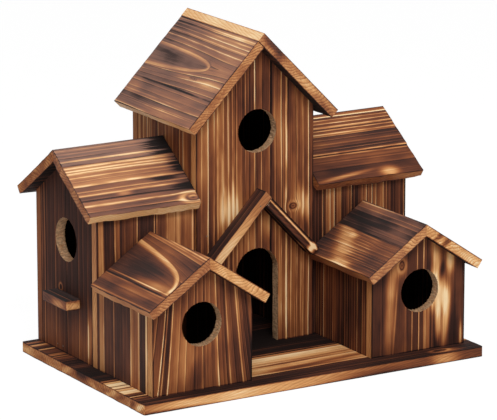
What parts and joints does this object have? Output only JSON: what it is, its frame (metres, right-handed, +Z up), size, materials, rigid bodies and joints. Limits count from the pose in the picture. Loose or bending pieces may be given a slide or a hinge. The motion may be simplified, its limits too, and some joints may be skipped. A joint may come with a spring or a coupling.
{
  "type": "multi-chamber birdhouse",
  "caption": "Multi-chamber birdhouse of charred softwood boards: a gabled tower, a wing on each side and small front houses, with round entry holes and an arched door, on a flat base",
  "frame": {"origin": "middle of the underside: the bottom centre of the box round the whole object", "axes": "+X to the right when the front is faced, +Y to the back, +Z up; the tower's front with its arched door faces -Y"},
  "size_m": [0.3448, 0.2334, 0.2893],
  "materials": {
    "base_board": "softwood, charred by a torch on top and pale at the sanded edges",
    "wall_board": "softwood, torched and brushed, so that dark bands and bright grain lines alternate",
    "inner_board": "plain sawn softwood inside, left bare",
    "trim_board": "softwood strips with torched faces and tan sawn edges",
    "roof_board": "softwood, torched and brushed, with tan end grain at the cut edges"
  },
  "bodies": {
    "root": {"base_plank_front": "base_board", "base_plank_second": "base_board", "base_plank_third": "base_board", "base_plank_rear": "base_board", "tower_front_left_plank": "wall_board", "tower_front_right_plank": "wall_board", "tower_back": "wall_board", "tower_left_wall": "wall_board", "tower_right_wall": "wall_board", "left_wing_front_wall": "wall_board", "left_wing_rear_wall": "wall_board", "left_wing_gable_front_plank": "wall_board", "left_wing_gable_rear_plank": "wall_board", "left_house_front": "wall_board", "left_house_left_wall": "wall_board", "left_house_right_wall": "wall_board", "right_wing_front_wall": "wall_board", "right_wing_rear_wall": "wall_board", "right_wing_gable_front_plank": "wall_board", "right_wing_gable_rear_plank": "wall_board", "right_house_front": "wall_board", "right_house_left_wall": "wall_board", "right_house_right_wall": "wall_board", "tower_floor": "inner_board", "porch_strip_left": "trim_board", "porch_strip_right": "trim_board", "left_wing_perch": "trim_board", "right_wing_perch": "trim_board", "tower_roof_left_upper_plank": "roof_board", "tower_roof_left_lower_plank": "roof_board", "tower_roof_right": "roof_board", "left_wing_roof_front_upper_plank": "roof_board", "left_wing_roof_front_lower_plank": "roof_board", "left_wing_roof_rear": "roof_board", "left_house_roof_left_upper_plank": "roof_board", "left_house_roof_left_lower_plank": "roof_board", "left_house_roof_right": "roof_board", "right_wing_roof_front_upper_plank": "roof_board", "right_wing_roof_front_lower_plank": "roof_board", "right_wing_roof_rear": "roof_board", "right_house_roof_left_upper_plank": "roof_board", "right_house_roof_left_lower_plank": "roof_board", "right_house_roof_right": "roof_board"}
  },
  "joints": []
}
